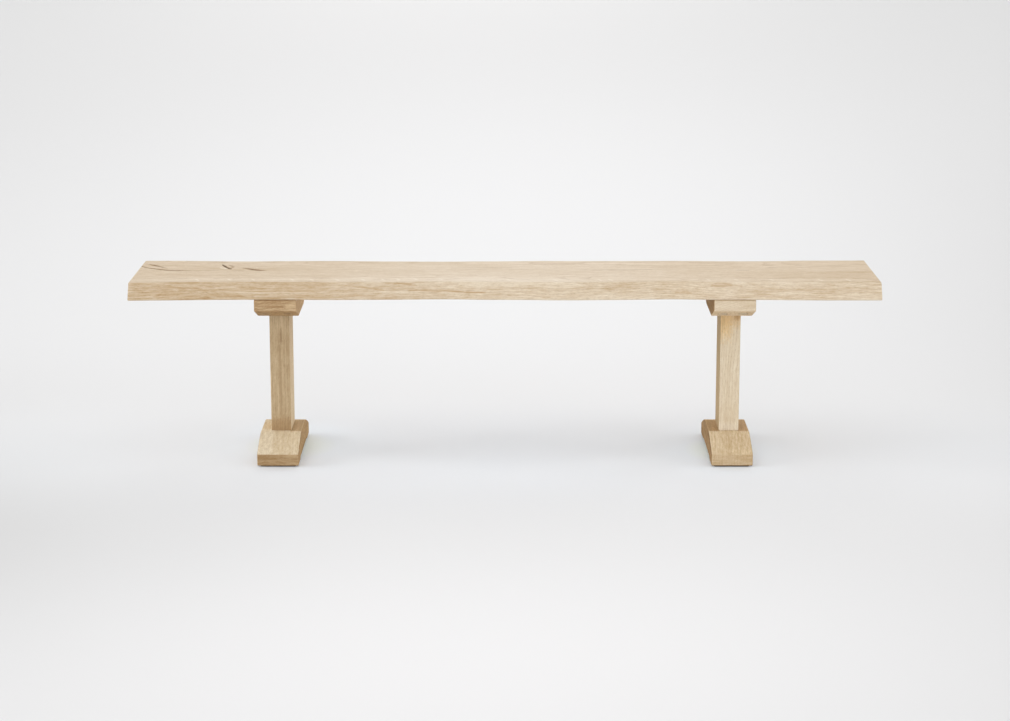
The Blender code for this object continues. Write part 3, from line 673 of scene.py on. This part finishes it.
def seat_marked(s, grain, colour, face):
    """The paler band, flecks, stains and splits of the seat."""
    rim = s.product(s.attribute("rim"), s.smooth(grain.streak, *RIM_STREAKS))
    colour = s.mix(rim, colour, linear(FLECK_COLOUR))
    colour = s.mix(s.scaled(s.attribute("fleck"), FLECK_STRENGTH), colour, linear(FLECK_COLOUR))
    stain = s.product(s.attribute("stain"), s.smooth(grain.stroke, *STAIN_STROKES))
    colour = s.mix(stain, colour, s.mix(face, linear(STAIN_COLOUR), linear(STREAK_COLOUR)))
    return s.mix(s.attribute("split"), colour, linear(SPLIT_COLOUR))


def oak(name, board):
    """Solid oak: growth rings about the board's pith, with rays, pores and fibres, in 3-D."""
    s = Shader(name)
    grain = Grain(s, board)
    is_seat = name in PLANKS
    face = s.attribute("face") if is_seat else None
    end_grain = s.square_on(GRAIN_ORDER[board["grain"]][0])
    beside = s.square_on(0)
    raw = board_tone(s, grain, board, end_grain, beside, face)
    tone = s.math("ADD", raw, 0.0, clamp=True)

    # Colours of the surfaces, by the way that they look. On the legs the side and under colours are painted
    # light and painted shade
    colour = s.between(tone, board["long"])
    if is_seat:
        colour = s.mix(face, colour, s.between(tone, board["face"]))
    colour = s.mix(end_grain, colour, s.between(tone, board["end"]))
    # Patches of the wood's own tone, and of painted shade from the seat, the bearers and the posts
    for patch in TONE_AND_SHADE_PATCHES.get(name, ()):
        colour = patched(s, grain.axes, colour, tone, patch)
    if not is_seat:
        # Painted light and painted shade: faces that look along X, or down, lighter or darker for how light
        # falls
        colour = s.mix(beside, colour, s.between(tone, board["side"]))
        below = s.smooth(s.direction(2), *UNDERSIDE)
        colour = s.mix(below, colour, s.between(tone, board["under"]))
    if name in ARRIS_LINES:
        colour = lined_arris(s, grain.axes, colour, beside, *ARRIS_LINES[name])

    # Rings, fine marks, pores and rays in them
    colour = s.mix(s.scaled(grain.early, board["ring"]), colour, linear(board["dark"]))
    colour = s.mix(s.smooth(grain.fine, *FINE_MARKS), colour, linear(board["dark"]))
    colour = s.mix(s.scaled(grain.pores, PORE_STRENGTH), colour, linear(board["pore"]))
    colour = s.mix(s.scaled(grain.rays, board["ray"]), colour, linear(board["long"][0]))
    colour = s.tinted(colour, s.mix(s.smooth(raw, *DEEP_TONES), WHITE, DEEP_TINT))
    if is_seat:
        colour = seat_marked(s, grain, colour, face)
    colour = s.tinted(colour, SEAT_TINT if is_seat else LEG_TINT)

    height = s.total(*(s.scaled(getattr(grain, kind), share) for kind, share in RELIEF.items()))
    roughness = s.math("ADD", s.scaled(grain.fibre, FIBRE_ROUGHNESS, OAK_ROUGHNESS),
                       s.scaled(grain.pores, PORE_ROUGHNESS))
    s.paint(colour, roughness, OAK_GLOSS)
    s.bump(height, RELIEF_STRENGTH, RELIEF_HEIGHT)
    return s.material


# Other materials

def beech(name):
    """Plain turned beech, its grain along Y."""
    s = Shader(name)
    grain = s.field("beech_grain", *s.place())
    s.finish(s.between(grain, BEECH_COLOURS), grain, BEECH_FINISH)
    return s.material


def turned_metal(name, colours):
    """Plated or turned metal, with fine turning marks and a little tarnish."""
    s = Shader(name)
    axes = s.place()
    turning = s.field("turning", *axes)
    tarnish = s.field("tarnish", *axes)
    s.surface.inputs["Metallic"].default_value = 1.0
    s.finish(s.between(tarnish, colours), turning, METAL_FINISH)
    return s.material


def felt(name):
    """Dense pressed felt with a fuzzy, mottled surface."""
    s = Shader(name)
    axes = s.place()
    fuzz = s.field("fuzz", *axes)
    cloud = s.field("cloud", *axes)
    light, dark = FELT_COLOURS
    colour = s.mix(fuzz, linear(dark), linear(light))
    colour = s.mix(s.scaled(cloud, FELT_CLOUDINESS), colour, linear(FELT_CLOUD))
    s.surface.inputs["Sheen Weight"].default_value = FELT_SHEEN
    s.finish(colour, fuzz, FELT_FINISH)
    return s.material


def floor_paper():
    """Pale seamless paper, with pools of painted light and painted shade in its tone."""
    s = Shader("floor")
    x, y = s.place()[:2]
    tones = [FLOOR_TONE] * 3
    # Each pool adds painted light, or painted shade where its colour is negative, to the paper's tone
    for added, middle, reach in FLOOR_LIGHT_AND_SHADE_POOLS:
        aside = s.scaled(x, 1 / reach[0], -middle[0] / reach[0])
        ahead = s.scaled(y, 1 / reach[1], -middle[1] / reach[1])
        spread = s.math("ADD", s.product(aside, aside), s.product(ahead, ahead))
        pool = s.math("EXPONENT", s.scaled(spread, -1.0))
        tones = [s.math("MULTIPLY_ADD", pool, part, tone) for part, tone in zip(added, tones)]
    tones = [s.math("MAXIMUM", s.math("MINIMUM", tone, 1.0), FLOOR_DARKEST) for tone in tones]
    s.feed(s.surface.inputs["Base Color"], s.add("CombineColor", dict(enumerate(tones))).outputs[0])
    s.surface.inputs["Roughness"].default_value = 1.0
    s.surface.inputs["Specular IOR Level"].default_value = 0.0
    return s.material


# Shape of the seat planks

def smooth_curve(at, places, values):
    """Values along a smooth curve through given ones, for many curves at once."""
    slopes = np.gradient(values, places, axis=0)
    left = np.clip(np.searchsorted(places, at) - 1, 0, len(places) - 2)
    step = (places[left + 1] - places[left])[:, None, None]
    t = (at - places[left])[:, None, None] / step
    start, end = values[left], values[left + 1]
    return (start * (1 + 2 * t) * (1 - t) ** 2 + slopes[left] * step * t * (1 - t) ** 2
            + end * t ** 2 * (3 - 2 * t) + slopes[left + 1] * step * t ** 2 * (t - 1))


def edge_stations(node):
    """Stations along a plank and its outer edge there, as (distance out, height) from the top down."""
    found = {}
    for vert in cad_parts[node].data.vertices:
        x, y, z = vert.co
        if abs(y) > EDGE_ZONE and abs(x) < SEAT_HALF - END_MARGIN * END_EASE:
            point = (round(z, POINT_DIGITS), round(abs(y), POINT_DIGITS))
            found.setdefault(round(x, STATION_DIGITS), set()).add(point)
    stations = sorted(found)
    edges = [[(out, height) for height, out in sorted(found[x], reverse=True)] for x in stations]
    return np.array(stations), np.array(edges)


def plank_columns(plank):
    """Places of the columns along a plank."""
    inner = SEAT_HALF - END_EASE
    change = plank["fine_length"] - inner
    fine = np.linspace(-inner, change, round(plank["fine_length"] / FINE_STEP) + 1)[:-1]
    wide = np.linspace(change, inner, round((inner - change) / plank["step"]) + 1)
    return np.concatenate([fine, wide])


def lines_between(start, end, steps):
    """Rows between two others, after the first one and before the last."""
    return [start + (end - start) * step / steps for step in range(1, steps)]


def plank_rows(edge, plank):
    """Rows right round a plank, as (distance out, height) at each column, and which side has each."""
    top_joint = np.stack([np.full(len(edge), JOINT), edge[:, 0, 1]], axis=1)
    low_joint = np.stack([np.full(len(edge), JOINT), edge[:, -1, 1]], axis=1)
    shares = 1 - np.linspace(1, 0, plank["top_rows"]) ** plank["crowding"]
    top = [top_joint + (edge[:, 0] - top_joint) * share for share in shares]
    face = [edge[:, i] for i in range(1, ARC_POINTS)]
    face += lines_between(edge[:, ARC_POINTS - 1], edge[:, ARC_POINTS], FACE_ROWS)
    face += [edge[:, i] for i in range(ARC_POINTS, 2 * ARC_POINTS - 1)]
    rest = [edge[:, -1], *lines_between(edge[:, -1], low_joint, BOTTOM_ROWS)]
    rest += [low_joint, *lines_between(low_joint, top_joint, JOINT_ROWS)]
    sides = np.repeat(("top", "face", "rest"), (len(top), len(face), len(rest)))
    return np.array(top + face + rest), sides


def eased_ends(along, rows):
    """Adds columns that round a plank's two ends over, drawing its section in on all sides."""
    least, most = rows.min(axis=0), rows.max(axis=0)
    middle, half = (least + most) / 2, (most - least) / 2
    angles = [math.pi / 2 * k / EASE_STEPS for k in range(1, EASE_STEPS + 1)]
    low, high = [], []
    for angle in angles:
        inset = END_EASE * (1 - math.cos(angle))
        drawn_in = middle + (rows - middle) * (1 - inset / half)
        low.insert(0, drawn_in[:, :1])
        high.append(drawn_in[:, -1:])
    reach = [END_EASE * math.sin(angle) for angle in angles]
    along = np.concatenate([[along[0] - r for r in reversed(reach)], along, [along[-1] + r for r in reach]])
    return along, np.concatenate([*low, rows, *high], axis=1)


def lumps(x, z):
    """How far the waney face stands in from the CAD's smooth one."""
    total = np.zeros(x.shape)
    for long, tall, height, phase in EDGE_LUMPS:
        total += height * (1 + np.sin(2 * math.pi * (x / long + z / tall) + phase)) / 2
    return total


def plank_grid(node, plank):
    """Points right round a plank, with its lumps, as arrays of rows by columns."""
    along = plank_columns(plank)
    edge = smooth_curve(along, *edge_stations(node))
    rows, sides = plank_rows(edge, plank)
    along, rows = eased_ends(along, rows)
    out, z = rows[..., 0], rows[..., 1]
    grid = SimpleNamespace(x=np.broadcast_to(along, out.shape))
    everywhere = np.ones(out.shape, bool)
    grid.is_top = (sides == "top")[:, None] & everywhere
    grid.is_face = (sides == "face")[:, None] & everywhere

    top_edge = out[sides == "top"][-1]
    on_top = np.clip(1 - (top_edge - out) / TOP_FADE, 0, 1)
    below = np.clip(1 - (out.max(axis=0) - out) / BOTTOM_FADE, 0, 1)
    blend = np.where(grid.is_face, 1.0, np.where(grid.is_top, on_top, below))
    grid.out = out - lumps(grid.x, z) * blend
    grid.inside = top_edge - grid.out
    eased = JOINT_EASE * np.clip(1 - (grid.out - JOINT) / JOINT_EASE_REACH, 0, 1)
    grid.z = z - np.where(grid.is_top, eased, 0.0)
    return grid


# Marks on the seat planks

def nearness(x, y, path, half_width):
    """1 on the middle line of a path, falling to 0 at its half width, which varies along it."""
    near = np.zeros(x.shape)
    for (x0, y0, wide0), (x1, y1, wide1) in zip(path, path[1:]):
        run_x, run_y = x1 - x0, y1 - y0
        share = ((x - x0) * run_x + (y - y0) * run_y) / (run_x ** 2 + run_y ** 2)
        share = np.clip(share, 0.0, 1.0)
        away = np.hypot(x - x0 - share * run_x, y - y0 - share * run_y)
        near = np.maximum(near, 1 - away / (half_width * (wide0 + (wide1 - wide0) * share)))
    return np.clip(near, 0.0, 1.0)


def lay(marks, kind, amount):
    """Lays a mark over those there, so that the stronger one counts."""
    marks[kind] = np.maximum(marks[kind], amount)


def rear_marks(grid, marks):
    """Lays splits, streaks and chips on top of the rear plank, and gives the splits' depth."""
    x, out, is_top = grid.x, grid.out, grid.is_top
    quick, slow = RAGGED_RATES
    ragged = 1 + RAGGED * np.sin(x * quick) * np.sin(x * slow + 1)
    depth = np.zeros(x.shape)
    for one in SPLITS:
        near = nearness(x, out, one["path"], one["width"] / 2 * ragged) * is_top
        depth += one["depth"] * np.minimum(1, SPLIT_STEEPNESS * near)
        lay(marks, "split", np.minimum(1, SPLIT_DARKNESS * near))
        lay(marks, "stain", one["shade"] * nearness(x, out, one["path"], one["stain"]) * is_top)
    for reach, shade, path in TOP_STREAKS:
        lay(marks, "stain", shade * nearness(x, out, path, reach) * is_top)
    for path in CHIPS:
        chip = np.minimum(CHIP_MOST, CHIP_FULLNESS * nearness(x, out, path, CHIP_REACH))
        lay(marks, "fleck", chip * is_top)
    return depth


def front_marks(grid, marks):
    """Lays streaks on the front face, and flecks and their paler band along the front of the top."""
    for reach, shade, path in FACE_STREAKS:
        lay(marks, "stain", shade * nearness(grid.x, SEAT_TOP - grid.z, path, reach) * grid.is_face)
    for place in FLECK_PLACES:
        path = ((place - FLECK_SLANT, FLECK_FAR, FLECK_TAPER), (place + FLECK_SLANT, FLECK_NEAR, 1.0))
        lay(marks, "fleck", nearness(grid.x, grid.inside, path, FLECK_REACH) * grid.is_top)
    rim = RIM_FULLNESS * (1 - abs(grid.inside - RIM_MIDDLE) / RIM_REACH)
    lay(marks, "rim", np.clip(rim, 0, 1) * grid.is_top)


def plank_marks(grid, plank):
    """Marks from 0 to 1 at each point of a plank, its splits cut into the grid."""
    marks = {kind: np.zeros(grid.x.shape) for kind in ("split", "stain", "fleck", "rim")}
    if plank["side"] > 0:
        grid.z = grid.z - rear_marks(grid, marks)
    else:
        front_marks(grid, marks)
    marks["face"] = np.where(grid.is_face, 1.0, np.where(grid.is_top, 0.0, PLAIN_FACE))

    # The end grain shows no marks
    for kind, values in marks.items():
        values[:, (0, -1)] = PLAIN_FACE if kind == "face" else 0.0
    return marks


def plank_mesh(name, side, grid, marks):
    """A closed mesh through a plank's grid, with its marks as attributes."""
    row_count, column_count = grid.x.shape
    points = np.stack([grid.x, side * grid.out, grid.z], axis=2).transpose(1, 0, 2).reshape(-1, 3)
    ring = np.arange(row_count)
    after = np.roll(ring, -1)
    starts = np.arange(column_count - 1)[:, None] * row_count
    corners = (starts + ring, starts + row_count + ring, starts + row_count + after, starts + after)
    quads = np.stack(corners, axis=2).reshape(-1, 4)
    caps = [ring, ((column_count - 1) * row_count + ring)[::-1]]
    if side < 0:
        quads = quads[:, ::-1]
        caps = [cap[::-1] for cap in caps]

    mesh = bpy.data.meshes.new(name)
    mesh.from_pydata(points.tolist(), [], quads.tolist() + [cap.tolist() for cap in caps])
    for kind, values in marks.items():
        mesh.attributes.new(kind, "FLOAT", "POINT").data.foreach_set("value", values.T.ravel())
    mesh.update()
    mesh.shade_smooth()
    mesh.set_sharp_from_angle(angle=SHARP_ANGLE)
    for cap in mesh.polygons[len(quads):]:
        cap.use_smooth = False
    return mesh


def plank_piece(node, plank):
    """A seat plank with lumpy waney edge, splits and streaks, in place of the CAD's plain one."""
    name = node + "_dressed"
    grid = plank_grid(node, plank)
    marks = plank_marks(grid, plank)
    piece = bpy.data.objects.new(name, plank_mesh(name, plank["side"], grid, marks))
    bpy.context.scene.collection.objects.link(piece)
    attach(piece, BODY)
    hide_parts(node)
    return piece


# Studio

def make_camera(scene):
    camera_data = bpy.data.cameras.new("camera")
    camera_data.lens = CAMERA_LENS
    camera_data.sensor_width = SENSOR_WIDTH
    camera = bpy.data.objects.new("camera", camera_data)
    camera.location = CAMERA_PLACE
    camera.rotation_euler = (math.pi / 2 - CAMERA_PITCH, 0.0, 0.0)
    scene.collection.objects.link(camera)
    scene.camera = camera


def make_light(scene):
    world = bpy.data.worlds.new("studio")
    world.use_nodes = True
    scene.world = world
    background = world.node_tree.nodes["Background"]
    background.inputs["Color"].default_value = WHITE
    background.inputs["Strength"].default_value = AMBIENT
    for name, elevation, azimuth, strength in SUNS:
        light = bpy.data.lights.new(name, "SUN")
        light.energy = math.pi * strength
        light.angle = SUN_SPREAD
        lamp = bpy.data.objects.new(name, light)
        lamp.rotation_euler = (math.radians(90 - elevation), 0.0, math.radians(azimuth))
        scene.collection.objects.link(lamp)


def make_floor(scene):
    mesh = bpy.data.meshes.new("floor")
    corners = [(-1, -1, 0), (1, -1, 0), (1, 1, 0), (-1, 1, 0)]
    mesh.from_pydata([(FLOOR_REACH * x, FLOOR_REACH * y, z) for x, y, z in corners], [], [(0, 1, 2, 3)])
    mesh.materials.append(floor_paper())
    floor = bpy.data.objects.new("floor", mesh)
    scene.collection.objects.link(floor)


def make_studio():
    scene = bpy.context.scene
    scene.view_settings.view_transform = "Standard"
    make_camera(scene)
    make_light(scene)
    make_floor(scene)


# The bench

def dress(piece, material):
    piece.data.materials.clear()
    piece.data.materials.append(material)


def dress_bench():
    for node, plank in PLANKS.items():
        dress(plank_piece(node, plank), oak(node, BOARDS[node]))
    for node, board in BOARDS.items():
        if node not in PLANKS:
            dress(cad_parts[node], oak(node, board))
    kinds = {
        "dowel": beech("beech_turned"),
        "bolt": turned_metal("zinc_plate", ZINC_COLOURS),
        "insert": turned_metal("brass_turned", BRASS_COLOURS),
        "glide": felt("felt_pressed"),
    }
    kinds["washer"] = kinds["bolt"]
    for name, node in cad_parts.items():
        for kind, material in kinds.items():
            if kind in name:
                dress(node, material)


make_studio()
dress_bench()
